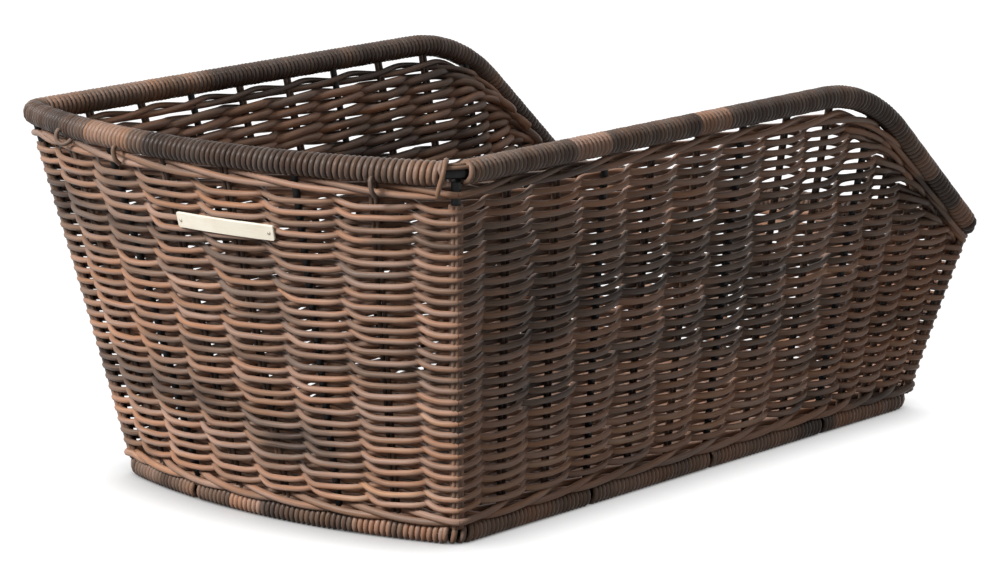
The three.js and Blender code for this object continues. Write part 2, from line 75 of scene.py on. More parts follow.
def rimHeightAt(y):
    f = basketForm
    slope = math.atan2(f["rimHeight"] - f["rimFrontHeight"], f["rimFront"] - f["rimPeak"])
    radius = f["rimPeakRadius"]
    start = f["rimPeak"] - radius * math.tan(slope / 2)
    end = start + radius * math.sin(slope)
    y = np.asarray(y, float)
    bent = f["rimHeight"] - radius + np.sqrt(np.maximum(radius ** 2 - np.clip(y - start, 0, radius) ** 2, 0))
    down = f["rimHeight"] - (y - f["rimPeak"]) * math.tan(slope)
    return np.where(y <= start, f["rimHeight"], np.where(y >= end, down, bent))


def wallLine(wall, share, flare=0.0):
    f = basketForm
    share = np.asarray(share, float)
    inset = f["wallInset"] - flare
    headWidth = f["rimWidth"] - 2 * inset
    headRear = f["rimRear"] + inset
    headFront = f["rimFront"] - inset
    if wall == "rear":
        foot = bowPoint(f["baseWidth"], f["baseBow"], f["baseRear"], f["baseHeight"], 2 * share - 1)
        return foot, bowPoint(headWidth, f["rimBow"], headRear, f["rimHeight"], 2 * share - 1)
    flat = np.ones_like(share)
    if wall == "front":
        across = 1 - 2 * share
        foot = np.stack([f["baseWidth"] / 2 * across, flat * f["baseFront"], flat * f["baseHeight"]], -1)
        head = np.stack([headWidth / 2 * across, flat * headFront, flat * rimHeightAt(headFront)], -1)
        return foot, head
    side = 1 if wall == "right" else -1
    back = share if wall == "right" else 1 - share
    footY = f["baseRear"] + (f["baseFront"] - f["baseRear"]) * back
    headY = headRear + (headFront - headRear) * back
    foot = np.stack([flat * side * f["baseWidth"] / 2, footY, flat * f["baseHeight"]], -1)
    return foot, np.stack([flat * side * headWidth / 2, headY, rimHeightAt(headY)], -1)


# A place on a wall, with the swing outwards below the rim
def wallAt(wall, share, height):
    foot, head = wallLine(wall, share)
    flare = (wallLine(wall, share, basketForm["wallFlare"])[1] - head) * (1, 1, 0)
    up = ((np.asarray(height, float) - foot[2]) / (head[2] - foot[2]))[..., None]
    return foot + (head - foot) * up + flare * up ** 2


def unit(v):
    return v / np.maximum(np.linalg.norm(v, axis=-1, keepdims=True), 1e-9)


def wallNormal(wall, share):
    near = wallLine(wall, np.maximum(np.asarray(share, float) - 0.001, 0))[0]
    far = wallLine(wall, np.minimum(np.asarray(share, float) + 0.001, 1))[0]
    foot, head = wallLine(wall, share)
    return unit(np.cross(far - near, head - foot))


def stakeShares(wall):
    f = basketForm
    if wall in ("rear", "front"):
        return np.arange(f["endStakes"] + 2) / (f["endStakes"] + 1)
    last = 1 - f["slopeBay"] / (f["rimFront"] - f["rimRear"])
    level = last * np.arange(f["levelStakes"] + 1) / f["levelStakes"]
    slope = last + (1 - last) * np.arange(1, f["slopeStakes"] + 2) / (f["slopeStakes"] + 1)
    shares = np.concatenate([level, slope])
    return shares if wall == "right" else 1 - shares[::-1]


def smooth(x):
    x = np.clip(x, 0, 1)
    return x * x * (3 - 2 * x)


# Colour along the strand: a slow drift that neighbours share, with each strand's own changes on top
strandTones = {
    "seed": 20,
    "gridSize": (64, 24),
    "knots": 60,
    "lead": 200.0,
    "ownStep": 64.0,
    "stepLeast": 0.4,
    "stepSpread": 1.2,
    "sharedStep": 84.0,
    "sharedRise": 12.0,
    "middle": 0.57,
    "own": 0.36,
    "shared": 0.2,
    "darkBelow": 0.34,
    "darkOwn": 0.3,
    "darkEdge": 0.16,
    "darkDrop": 0.27,
    "paintedLowLight": 0.18,  # painted light: strands are painted paler towards the base, standing in for light that the lower wall lacks
    "paintedLowLightHeight": 140.0,
}
toneRng = np.random.default_rng(strandTones["seed"])
sharedGrid = toneRng.random(strandTones["gridSize"])


def sharedTone(run, height):
    columns, rows = strandTones["gridSize"]
    x = np.asarray(run, float) / strandTones["sharedStep"] % (columns - 1)
    y = np.clip(np.asarray(height, float) / strandTones["sharedRise"], 0, rows - 1.01)
    i, j = x.astype(int), y.astype(int)
    a, b = smooth(x - i), smooth(y - j)
    low = sharedGrid[i, j] * (1 - a) + sharedGrid[i + 1, j] * a
    high = sharedGrid[i, j + 1] * (1 - a) + sharedGrid[i + 1, j + 1] * a
    return low * (1 - b) + high * b


def newStrand():
    tones = strandTones
    steps = tones["stepLeast"] + tones["stepSpread"] * toneRng.random(tones["knots"])
    knots = np.cumsum(tones["ownStep"] * steps) - tones["lead"]
    return knots, toneRng.random(tones["knots"]), toneRng.random()


def strandTone(strand, run, height):
    knots, values, _ = strand
    tones = strandTones
    own = np.interp(run, knots, values) - 0.5
    shared = sharedTone(run, height)
    dark = smooth((tones["darkBelow"] + tones["darkOwn"] * own - shared) / tones["darkEdge"])
    tone = tones["middle"] + tones["own"] * own + tones["shared"] * (shared - 0.5)
    # Painted light: strands are made paler towards the base, standing in for light that reaches the lower wall less
    paintedLift = tones["paintedLowLight"] * np.clip(1 - np.asarray(height, float) / tones["paintedLowLightHeight"], 0, 1)
    return np.clip(tone + paintedLift - tones["darkDrop"] * dark, 0, 1)


# Paths of strands are gathered as points with a radius, a tone and a length run so far
class StrandPaths:
    def __init__(self):
        self.points, self.edges = [], []
        self.radius, self.tone, self.run, self.seed = [], [], [], []

    def add(self, points, radius, tone, run, seed):
        first = len(self.points)
        count = len(points)
        self.points.extend(np.asarray(points) * metre)
        self.edges.extend((first + k, first + k + 1) for k in range(count - 1))
        self.radius.extend(np.broadcast_to(np.asarray(radius, float) * metre, count))
        self.tone.extend(np.broadcast_to(tone, count))
        self.run.extend(np.asarray(run, float) * metre)
        self.seed.extend([seed] * count)


def linkedObject(name, data):
    obj = bpy.data.objects.new(name, data)
    bpy.context.scene.collection.objects.link(obj)
    return obj


def pathObject(name, points, edges, fields):
    mesh = bpy.data.meshes.new(name)
    mesh.from_pydata([tuple(p) for p in points], list(edges), [])
    for layerName, values in fields.items():
        values = np.asarray(values, np.float32)
        kind, key = ("FLOAT_VECTOR", "vector") if values.ndim == 2 else ("FLOAT", "value")
        mesh.attributes.new(layerName, kind, "POINT").data.foreach_set(key, values.ravel())
    return linkedObject(name, mesh)


# Geometry Nodes: small helpers to lay out a tree
def newTree(name, sockets):
    tree = bpy.data.node_groups.new(name, "GeometryNodeTree")
    tree.interface.new_socket("Paths", in_out="INPUT", socket_type="NodeSocketGeometry")
    for socketName, kind, value in sockets:
        socket = tree.interface.new_socket(socketName, in_out="INPUT", socket_type=kind)
        if value is not None:
            socket.default_value = value
    tree.interface.new_socket("Strands", in_out="OUTPUT", socket_type="NodeSocketGeometry")
    return tree, tree.nodes.new("NodeGroupInput"), tree.nodes.new("NodeGroupOutput")


def addNode(tree, kind, inputs=None, **settings):
    node = tree.nodes.new(kind)
    for key, value in settings.items():
        setattr(node, key, value)
    for key, value in (inputs or {}).items():
        socket = node.inputs[key]
        if isinstance(value, bpy.types.NodeSocket):
            tree.links.new(value, socket)
        else:
            socket.default_value = value
    return node


def field(tree, name, kind="FLOAT"):
    node = addNode(tree, "GeometryNodeInputNamedAttribute", {"Name": name}, data_type=kind)
    return node.outputs["Attribute"]


def storedField(tree, geometry, name, value, kind="FLOAT"):
    node = addNode(tree, "GeometryNodeStoreNamedAttribute",
                   {"Geometry": geometry, "Name": name, "Value": value}, data_type=kind, domain="POINT")
    return node.outputs[0]


def maths(tree, operation, a, b=0.0):
    return addNode(tree, "ShaderNodeMath", {0: a, 1: b}, operation=operation).outputs[0]


def vectors(tree, operation, a, b=(0, 0, 0)):
    return addNode(tree, "ShaderNodeVectorMath", {0: a, 1: b}, operation=operation).outputs[0]


def scaled(tree, vector, factor):
    node = addNode(tree, "ShaderNodeVectorMath", {0: vector, "Scale": factor}, operation="SCALE")
    return node.outputs[0]


def tubesFrom(tree, curve, given):
    ring = addNode(tree, "GeometryNodeCurvePrimitiveCircle", {"Resolution": given["Sides"], "Radius": 1.0})
    place = tree.nodes.new("GeometryNodeInputPosition").outputs[0]
    turned = storedField(tree, ring.outputs["Curve"], "strandTurn", place, "FLOAT_VECTOR")
    tube = addNode(tree, "GeometryNodeCurveToMesh",
                   {"Curve": curve, "Profile Curve": turned, "Scale": field(tree, "strandRadius"),
                    "Fill Caps": True})
    rounded = addNode(tree, "GeometryNodeSetShadeSmooth", {"Geometry": tube.outputs[0]})
    return rounded.outputs[0]


def finishTree(tree, out, geometry, given):
    real = addNode(tree, "GeometryNodeRealizeInstances", {"Geometry": geometry})
    painted = addNode(tree, "GeometryNodeSetMaterial",
                      {"Geometry": real.outputs[0], "Material": given["Material"]})
    tree.links.new(painted.outputs[0], out.inputs[0])


tubeSockets = [("Sides", "NodeSocketInt", 8), ("Material", "NodeSocketMaterial", None)]


def strandTree():
    tree, given, out = newTree("strandTubes", tubeSockets)
    curve = addNode(tree, "GeometryNodeMeshToCurve", {"Mesh": given.outputs["Paths"]})
    finishTree(tree, out, tubesFrom(tree, curve.outputs[0], given.outputs), given.outputs)
    return tree


def windingTree():
    sockets = tubeSockets + [("Pitch", "NodeSocketFloat", 0.0037), ("Reach", "NodeSocketFloat", 0.0048),
                             ("Step", "NodeSocketFloat", 0.00026), ("Ground", "NodeSocketFloat", -1.0)]
    tree, given, out = newTree("woundStrand", sockets)
    given = given.outputs
    curve = addNode(tree, "GeometryNodeMeshToCurve", {"Mesh": given["Paths"]})
    fine = addNode(tree, "GeometryNodeResampleCurve",
                   {"Curve": curve.outputs[0], "Length": given["Step"]}, mode="LENGTH")
    turns = maths(tree, "DIVIDE", field(tree, "pathRun"), given["Pitch"])
    angle = maths(tree, "MULTIPLY", turns, 2 * math.pi)
    outward = scaled(tree, field(tree, "pathOut", "FLOAT_VECTOR"), maths(tree, "COSINE", angle))
    upward = scaled(tree, field(tree, "pathUp", "FLOAT_VECTOR"), maths(tree, "SINE", angle))
    offset = scaled(tree, vectors(tree, "ADD", outward, upward), given["Reach"])
    wound = addNode(tree, "GeometryNodeSetPosition", {"Geometry": fine.outputs[0], "Offset": offset})
    length = maths(tree, "MULTIPLY", angle, given["Reach"])
    tubes = tubesFrom(tree, storedField(tree, wound.outputs[0], "strandRun", length), given)
    # Turns under the base are pressed flat on the ground
    place = tree.nodes.new("GeometryNodeInputPosition").outputs[0]
    parts = addNode(tree, "ShaderNodeSeparateXYZ", {0: place}).outputs
    lifted = addNode(tree, "ShaderNodeCombineXYZ",
                     {0: parts[0], 1: parts[1], 2: maths(tree, "MAXIMUM", parts[2], given["Ground"])})
    rested = addNode(tree, "GeometryNodeSetPosition", {"Geometry": tubes, "Position": lifted.outputs[0]})
    finishTree(tree, out, rested.outputs[0], given)
    return tree


def settle(obj, tree, values):
    modifier = obj.modifiers.new("make", "NODES")
    modifier.node_group = tree
    for item in tree.interface.items_tree:
        if item.in_out == "INPUT" and item.name in values:
            modifier[item.identifier] = values[item.name]
    obj.update_tag()
    depsgraph = bpy.context.evaluated_depsgraph_get()
    mesh = bpy.data.meshes.new_from_object(
        obj.evaluated_get(depsgraph), preserve_all_data_layers=True, depsgraph=depsgraph)
    obj.modifiers.remove(modifier)
    paths = obj.data
    obj.data = mesh
    mesh.name = obj.name
    bpy.data.meshes.remove(paths)


def strandPiece(name, paths, material, sides, replaced=()):
    obj = pathObject(name, paths.points, paths.edges, {
        "strandRadius": paths.radius,
        "strandTone": paths.tone,
        "strandRun": paths.run,
        "strandSeed": paths.seed,
    })
    settle(obj, tubeTree, {"Sides": sides, "Material": material})
    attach(obj, "root")
    if replaced:
        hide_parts(*replaced)
    print(name, len(obj.data.polygons), "faces")


# Materials
def newMaterial(name):
    material = bpy.data.materials.new(name)
    material.use_nodes = True
    return material, material.node_tree, material.node_tree.nodes["Principled BSDF"]


def ramp(tree, value, stops):
    node = addNode(tree, "ShaderNodeValToRGB", {0: value})
    points = node.color_ramp.elements
    while len(points) < len(stops):
        points.new(0.5)
    for point, (place, colour) in zip(points, stops):
        point.position = place
        point.color = (*colour, 1.0)
    return node.outputs[0]


def noise(tree, place, scale, detail, roughness=0.5):
    node = addNode(tree, "ShaderNodeTexNoise",
                   {"Vector": place, "Scale": scale, "Detail": detail, "Roughness": roughness})
    return node.outputs[0]


def spread(tree, value, low, high, start=0.0, stop=1.0):
    return addNode(tree, "ShaderNodeMapRange", {0: value, 1: start, 2: stop, 3: low, 4: high}).outputs[0]


def bumpFrom(tree, shader, height, strength, distance):
    bump = addNode(tree, "ShaderNodeBump", {"Height": height, "Strength": strength, "Distance": distance})
    tree.links.new(bump.outputs[0], shader.inputs["Normal"])


noiseRange = (0.3, 0.7)  # where most of a noise lies

strandFinish = {
    "stops": [
        (0.00, (0.030, 0.020, 0.016)),
        (0.22, (0.078, 0.050, 0.038)),
        (0.42, (0.178, 0.112, 0.078)),
        (0.58, (0.275, 0.158, 0.104)),
        (0.76, (0.365, 0.197, 0.126)),
        (1.00, (0.490, 0.300, 0.190)),
    ],
    "gloss": 0.15,
    "roughness": (0.34, 0.52),
    "alongScale": 26.0,
    "roundScale": 1.9,
    "seedShift": 71.0,
    "wobble": 0.56,
    "grain": (0.78, 1.16),
    "grey": (0.78, 1.1),
    "greyRange": (0.36, 0.64),
    "streakDepth": 0.12,
    "streakHeight": 0.0004,
}


def strandMaterial(name, finish):
    material, tree, shader = newMaterial(name)
    tone, run, seed, turn = (addNode(tree, "ShaderNodeAttribute", attribute_name=attribute).outputs
                             for attribute in ("strandTone", "strandRun", "strandSeed", "strandTurn"))
    turned = addNode(tree, "ShaderNodeSeparateXYZ", {0: turn["Vector"]}).outputs
    along = maths(tree, "MULTIPLY", run["Fac"], finish["alongScale"])
    place = addNode(tree, "ShaderNodeCombineXYZ", {
        0: maths(tree, "ADD", along, maths(tree, "MULTIPLY", seed["Fac"], finish["seedShift"])),
        1: maths(tree, "MULTIPLY", turned[0], finish["roundScale"]),
        2: maths(tree, "MULTIPLY", turned[1], finish["roundScale"]),
    }).outputs[0]
    streak = noise(tree, place, 1.0, 5.0, 0.65)
    fine = noise(tree, place, 5.0, 3.0, 0.6)
    drift = noise(tree, place, 0.4, 2.0)
    wobble = maths(tree, "MULTIPLY", maths(tree, "SUBTRACT", streak, 0.5), finish["wobble"])
    colour = ramp(tree, maths(tree, "ADD", tone["Fac"], wobble), finish["stops"])
    greyed = spread(tree, drift, *finish["grey"], *finish["greyRange"])
    tinted = addNode(tree, "ShaderNodeHueSaturation", {"Saturation": greyed, "Color": colour}).outputs[0]
    shade = scaled(tree, tinted, spread(tree, fine, *finish["grain"], *noiseRange))
    tree.links.new(shade, shader.inputs["Base Color"])
    shader.inputs["Specular IOR Level"].default_value = finish["gloss"]
    tree.links.new(spread(tree, streak, *finish["roughness"], *noiseRange), shader.inputs["Roughness"])
    bumpFrom(tree, shader, fine, finish["streakDepth"], finish["streakHeight"])
    return material


steelFinish = {
    "colour": (0.004, 0.004, 0.0045),
    "worn": (0.013, 0.012, 0.012),
    "gloss": 0.2,
    "roughness": (0.36, 0.55),
    "patchScale": 60.0,
    "grainScale": 900.0,
    "grainDepth": 0.18,
    "grainHeight": 0.0002,
}


def steelMaterial(name, finish):
    material, tree, shader = newMaterial(name)
    place = tree.nodes.new("ShaderNodeTexCoord").outputs["Object"]
    grain = noise(tree, place, finish["grainScale"], 3.0)
    patch = noise(tree, place, finish["patchScale"], 4.0)
    colour = ramp(tree, patch, [(0.45, finish["colour"]), (0.75, finish["worn"])])
    tree.links.new(colour, shader.inputs["Base Color"])
    tree.links.new(spread(tree, patch, *finish["roughness"], *noiseRange), shader.inputs["Roughness"])
    shader.inputs["Specular IOR Level"].default_value = finish["gloss"]
    bumpFrom(tree, shader, grain, finish["grainDepth"], finish["grainHeight"])
    return material


tubeTree = strandTree()
coilTree = windingTree()
weaveStrand = strandMaterial("weaveStrand", strandFinish)
windingFinish = {**strandFinish, "gloss": 0.16, "roughness": (0.28, 0.42)}
windingStrand = strandMaterial("windingStrand", windingFinish)
blackSteel = steelMaterial("blackSteel", steelFinish)
print("materials and node trees made")

# Woven walls: each row is a pair of strands that twist round each other from stake to stake
weave = {
    "strandRadius": {  # on the outside and on the inside
        "rear": (1.65, 1.65), "right": (1.76, 1.76), "front": (1.8, 2.15), "left": (2.35, 2.65),
    },
    "sizeSpread": 0.08,
    "endLength": 15.0,
    "rowPitch": 6.1,
    "firstRow": 21.0,
    "rows": 28,
    "reach": 3.3,
    "hold": 2.1,  # how long a strand keeps to one face
    "crossing": {"rear": 1.4, "right": 0.95, "front": 1.2, "left": 1.45},
    "cross": {  # place and length of the change of level
        "rear": (0.05, 0.22), "right": (0.07, 0.36), "front": (0.05, 0.3), "left": (0.25, 0.5),
    },
    "loose": {"along": (40, 80, 165, 190), "up": (122, 140), "rise": 2.1},  # where the right wall is less tight
    "bundle": {  # rows drawn together under the sloping rim
        "depth": 15.0, "frontDepth": 0.2, "least": 0.05, "over": 10.0, "tail": 5.0,
        "ease": 0.5, "spread": 1.5, "step": 0.9,
    },
    "fallOver": 14.0,
    "frontOver": 60.0,
    "cornerReach": 4.4,
    "cornerLean": 0.8,
    "cornerSteps": 9,
    "tuckDepth": 4.5,
    "tuckLength": 16.0,
    "stepsPerBay": 12,
    "sides": 8,
    "wander": {"rear": 0.4, "right": 0.3, "front": 0.4, "left": 0.7},
    "wanderStep": 8,
    "slip": 0.06,
    "seed": 7,
}
wales = {
    "strands": 3,
    "turns": 13,
    "sides": 8,
    "skew": 0.6,
    "hold": 1.4,
    "outside": 0.3,
    "handOver": 0.6,
    "top": {"reach": 3.4, "crossing": 2.0, "slopeEase": 0.3, "strandRadius": 1.75, "tone": 0.06},
    "bottom": {"reach": 4.3, "crossing": 1.75, "slopeEase": 0.0, "strandRadius": 1.9, "tone": -0.05},
    "bottomHeight": 14.2,
    "drop": 9.8,  # from the rim rod to the middle of the upper rope
    "sideDrop": ([-212, 0, 80, 120, 150, 180, 246], [9.8, 10.2, 11.4, 11.0, 10.4, 10.0, 9.8]),
    "leftDrop": 0.6,  # the left one hangs lower behind the level rim
    "leftAlong": (-205, -150, 60, 130),
    "toRow": 7.5,
    "leftToRow": 5.6,
}
rowRng = np.random.default_rng(weave["seed"])


def lengthAlong(points):
    return np.concatenate([[0], np.cumsum(np.linalg.norm(np.diff(points, axis=0), axis=1))])


class WallGrid:
    def __init__(self, wall, start, phase):
        shares = stakeShares(wall)
        self.wall, self.phase = wall, phase
        self.last = len(shares) - 1
        self.u = np.arange(self.last * weave["stepsPerBay"] + 1) / weave["stepsPerBay"]
        share = np.interp(self.u, np.arange(self.last + 1), shares)
        self.foot, self.head = wallLine(wall, share)
        self.flare = wallLine(wall, share, basketForm["wallFlare"])[1] - self.head
        self.flare[:, 2] = 0
        self.rise = unit(self.head - self.foot)
        self.normal = wallNormal(wall, share)
        length = lengthAlong(self.foot + self.head) / 2
        self.run = start + length
        self.end = start + length[-1]
        side = wall in ("left", "right")
        self.drop = np.interp(self.head[:, 1], *wales["sideDrop"]) if side else wales["drop"] + 0 * self.u
        if wall == "left":
            level = np.interp(self.head[:, 1], wales["leftAlong"], (0, 1, 1, 0))
            self.drop = self.drop + wales["leftDrop"] * level
        self.toRow = wales["leftToRow" if wall == "left" else "toRow"]
        below = (basketForm["rimHeight"] - self.head[:, 2]) / weave["fallOver"]
        self.fall = smooth(below) if side else 0 * self.u
        self.toFront = smooth((basketForm["rimFront"] - self.head[:, 1]) / weave["frontOver"])

    def at(self, height):
        up = ((height - self.foot[:, 2]) / (self.head[:, 2] - self.foot[:, 2]))[:, None]
        return self.foot + (self.head - self.foot) * up + self.flare * up ** 2

    # Rows that meet the sloping rim are drawn in below it and run along it before they end
    def rowHeights(self, level):
        b = weave["bundle"]
        ceiling = self.head[:, 2] - self.drop - self.toRow * (1 - b["ease"] * self.fall)
        share = b["frontDepth"] + (1 - b["frontDepth"]) * self.toFront
        depth = np.maximum(b["depth"] * self.fall * share, b["least"])
        past = np.maximum(level - (ceiling - depth), 0)
        left = np.maximum(1 - past / (2 * depth), 0)
        height = np.where(past > 0, ceiling - depth * left ** 2, level)
        return height, smooth(past / b["over"]) * self.fall, past > 2 * depth + b["tail"] * (1 + self.fall)


grids = {}
total, phase = 0.0, 0
for wall in wallOrder:
    grids[wall] = WallGrid(wall, total, phase)
    total, phase = grids[wall].end, phase + grids[wall].last


# A strand's course along one wall: its middle line, the line itself and the part that is there
class Course:
    def __init__(self, grid, core, path, kept):
        self.grid, self.core, self.path = grid, core, path
        places = np.flatnonzero(kept)
        self.first, self.stop = (places[0], places[-1] + 1) if len(places) else (0, 0)
        self.run = grid.run.copy()
        self.ends = [self.first > 0, self.stop < len(kept)]

    def tuckEnds(self, depth):
        for loose, k in zip(self.ends, (self.first, self.stop - 1)):
            if loose:
                tail = smooth(1 - np.abs(self.grid.run - self.grid.run[k]) / weave["tuckLength"])
                self.path = self.path - self.grid.normal * (tail * depth)[:, None]

    def cut(self):
        self.path, self.run = self.path[self.first:self.stop], self.run[self.first:self.stop]


def meetAtCorners(courses):
    for k, before in enumerate(courses):
        after = courses[(k + 1) % 4]
        before.meets = before.stop == len(before.path) and after.first == 0 and after.stop > 0
        if not before.meets:
            before.ends[1] = before.stop > 0
            after.ends[0] = after.stop > 0
    corners = []
    for k, before in enumerate(courses):
        after = courses[(k + 1) % 4]
        core = before.core[-1]
        facing = 1 + before.grid.normal[-1] @ after.grid.normal[0]
        corners.append(core + (before.path[-1] + after.path[0] - 2 * core) / facing)
    for course in courses:
        course.tuckEnds(weave["tuckDepth"])
        course.cut()
    for k, before in enumerate(courses):
        after = courses[(k + 1) % 4]
        if before.meets:
            roundCorner(before, after, corners[k])


def roundCorner(before, after, corner):
    far = [np.linalg.norm(c.path - corner, axis=1) > weave["cornerReach"] for c in (before, after)]
    a, b = before.path[far[0]], after.path[far[1]]
    t = np.linspace(0, 1, weave["cornerSteps"])[1:-1, None]
    handles = [p + (corner - p) * weave["cornerLean"] for p in (a[-1], b[0])]
    bend = ((1 - t) ** 3 * a[-1] + 3 * t * (1 - t) ** 2 * handles[0]
            + 3 * t ** 2 * (1 - t) * handles[1] + t ** 3 * b[0])
    half = len(bend) // 2 + 1
    runs = before.run[far[0]], after.run[far[1]]
    before.path = np.vstack([a, bend[:half]])
    before.run = np.concatenate([runs[0], np.linspace(runs[0][-1], before.grid.end, half + 1)[1:]])
    after.path = np.vstack([bend[half - 1:], b])
    after.run = np.concatenate([np.linspace(after.grid.run[0], runs[1][0], half + 1)[:-1], runs[1]])


def wander(count, size):
    step = weave["wanderStep"]
    knots = rowRng.normal(0, size, count // step + 3)
    return np.interp(np.arange(count) / step, np.arange(len(knots)), knots)


def wanders(sizes):
    return {wall: [wander(len(grids[wall].u), sizes[wall]) for _ in range(weave["rows"])] for wall in wallOrder}


# A strand keeps to one face of the wall and swings over quickly between the stakes
def keptOut(swing, hold):
    return np.tanh(hold * swing) / math.tanh(hold)


# A strand changes level quickly where it comes to the outside, and slowly after that
def changeOfLevel(angle, hand, place, length):
    turn = (angle / math.pi + 0.5) / 2
    turn = turn if hand < 0 else 0.5 - turn
    t = (turn - place + length / 2) % 1
    return np.where(t < length, 1 - 2 * smooth(t / length), 2 * (t - length) / (1 - length) - 1)


def rowLevel(row):
    return weave["firstRow"] + row * weave["rowPitch"]


def rowCourse(grid, row, strand):
    wall, b, level = grid.wall, weave["bundle"], rowLevel(row)
    height, bundled, ended = grid.rowHeights(level)
    calm = smooth(np.minimum(grid.u, grid.last - grid.u))
    angle = math.pi * (grid.u + strand + grid.phase + rowSlip[wall][row] * calm)
    eased = 1 - b["ease"] * bundled
    out = keptOut(np.cos(angle), weave["hold"]) * weave["reach"] * eased
    out = out + (b["spread"] if row % 2 else -b["spread"]) * bundled
    lean = changeOfLevel(angle, wallHand[wall], *weave["cross"][wall])
    up = weave["crossing"][wall] * lean * eased + rowSway[wall][row] * calm
    up = up - b["step"] * (row % 3) * bundled
    if wall == "right":
        loose = weave["loose"]
        along = np.interp(grid.head[:, 1], loose["along"], (0, 1, 1, 0))
        share = along * np.interp(level, loose["up"], (0, 1)) * (1 - bundled)
        up = up + loose["rise"] * share * smooth(-np.cos(angle))
    core = grid.at(height) + grid.rise * up[:, None]
    return Course(grid, core, core + grid.normal * out[:, None], ~ended)


# Towards the corners all walls come to one thickness of strand
def rowRadius(course, strand, size):
    grid = course.grid
    toEnd = smooth(np.minimum(course.run - grid.run[0], grid.end - course.run) / weave["endLength"])
    place = np.interp(course.run, grid.run, grid.u)
    inside = smooth(-np.cos(math.pi * (place + strand + grid.phase)))
    outer, inner = weave["strandRadius"][grid.wall]
    corner = weave["strandRadius"]["rear"][0]
    return size * (corner + (outer + (inner - outer) * inside - corner) * toEnd)


rowSway = wanders(weave["wander"])
rowSlip = wanders(dict.fromkeys(wallOrder, weave["slip"]))
wallPaths = {wall: StrandPaths() for wall in wallOrder}
for row in range(weave["rows"]):
    for strand in (0, 1):
        tones = newStrand()
        courses = [rowCourse(grids[wall], row, strand) for wall in wallOrder]
        meetAtCorners(courses)
        size = 1 + weave["sizeSpread"] * (tones[2] - 0.5)
        for course in courses:
            if len(course.path) > 2:
                radius = rowRadius(course, strand, size)
                tone = strandTone(tones, course.run, rowLevel(row))
                wallPaths[course.grid.wall].add(course.path, radius, tone, course.run, tones[2])
for wall in wallOrder:
    strandPiece(f"weave_{wall}", wallPaths[wall], weaveStrand, weave["sides"], [f"woven_wall_{wall}"])


# Wales: ropes of three strands under the rim and above the base
def waleCourse(grid, part, strand):
    rope = wales[part]
    height = grid.head[:, 2] - grid.drop if part == "top" else wales["bottomHeight"] + 0 * grid.u
    before = wallHand[wallOrder[wallOrder.index(grid.wall) - 1]]
    hand = before + (wallHand[grid.wall] - before) * smooth(grid.u / wales["handOver"])
    angle = 2 * math.pi * ((grid.u + grid.phase) * wales["turns"] / phase + strand / wales["strands"])
    tall = rope["crossing"] * (1 - rope["slopeEase"] * grid.fall)
    lean = hand * tall * np.sin(angle - hand * wales["skew"] * np.cos(angle))
    core = grid.at(height) + grid.rise * lean[:, None]
    out = keptOut(np.cos(angle) + wales["outside"], wales["hold"]) * rope["reach"]
    return Course(grid, core, core + grid.normal * out[:, None], np.ones(len(grid.u), bool))


for part in ("top", "bottom"):
    walePaths = StrandPaths()
    for strand in range(wales["strands"]):
        tones = newStrand()
        courses = [waleCourse(grids[wall], part, strand) for wall in wallOrder]
        meetAtCorners(courses)
        for course in courses:
            tone = strandTone(tones, course.run, course.path[:, 2]) + wales[part]["tone"]
            walePaths.add(course.path, wales[part]["strandRadius"], np.clip(tone, 0, 1), course.run, tones[2])
    strandPiece(f"wale_{part}", walePaths, weaveStrand, wales["sides"])

# Stakes that the rows are woven round: steel uprights and corner posts, with doubled strands between them
stakes = {
    "strandRadius": 1.3, "apart": 1.45, "low": 9.0, "highDrop": 4.0, "steps": 16, "sides": 8,
    "tone": -0.34, "sway": 0.25, "swayStep": 4,
    "steelRadius": 2.0, "postRadius": 2.5, "steelSides": 12,
    "cornerTurns": (-1.7, -0.85, 0, 0.85, 1.7), "cornerReach": 2.5, "cornerRadius": 1.35,
    "cornerDrop": 6.0, "cornerTone": -0.12,
}
swayKnots = np.arange(0, stakes["steps"] + stakes["swayStep"], stakes["swayStep"])
stakePaths, steelPaths = StrandPaths(), StrandPaths()
for wall in wallOrder:
    shares = stakeShares(wall)
    for k in range(len(shares) - 1):
        head = wallLine(wall, shares[k])[1]
        height = np.linspace(stakes["low"], head[2] - stakes["highDrop"], stakes["steps"])
        line = wallAt(wall, shares[k], height)
        if k == 0 or k in basketForm["steelStakes"][wall]:
            steelPaths.add(line, stakes["steelRadius" if k else "postRadius"], 0, height, 0)
            if k == 0:
                before = wallOrder[wallOrder.index(wall) - 1]
                outward = unit((wallNormal(wall, 0.0) + wallNormal(before, 1.0)) * (1, 1, 0))
                across = np.cross((0, 0, 1), outward)
                kept = height < head[2] - stakes["cornerDrop"]
                for turn in stakes["cornerTurns"]:
                    strand = newStrand()
                    path = line + stakes["cornerReach"] * (outward * math.cos(turn) + across * math.sin(turn))
                    tone = np.clip(strandTone(strand, height, height) + stakes["cornerTone"], 0, 1)
                    stakePaths.add(path[kept], stakes["cornerRadius"], tone[kept], height[kept], strand[2])
            continue
        tangent = unit(wallLine(wall, shares[k] + 0.01)[0] - wallLine(wall, shares[k] - 0.01)[0])
        for side in (-1, 1):
            strand = newStrand()
            swayed = rowRng.normal(0, stakes["sway"], len(swayKnots))
            sway = np.interp(np.arange(stakes["steps"]), swayKnots, swayed)
            path = line + tangent * (side * stakes["apart"] + sway)[:, None]
            tone = np.clip(strandTone(strand, height, height) + stakes["tone"], 0, 1)
            stakePaths.add(path, stakes["strandRadius"], tone, height, strand[2])
strandPiece("strand_stakes", stakePaths, weaveStrand, stakes["sides"])
steelNodes = [name for name in nodes if "upright" in name or "post" in name]
strandPiece("steel_stakes", steelPaths, blackSteel, stakes["steelSides"], steelNodes)


# Loops of the rim and the base, as bent from rod
loopSteps = {"bow": 41, "corner": 10, "peak": 24, "search": 4000}


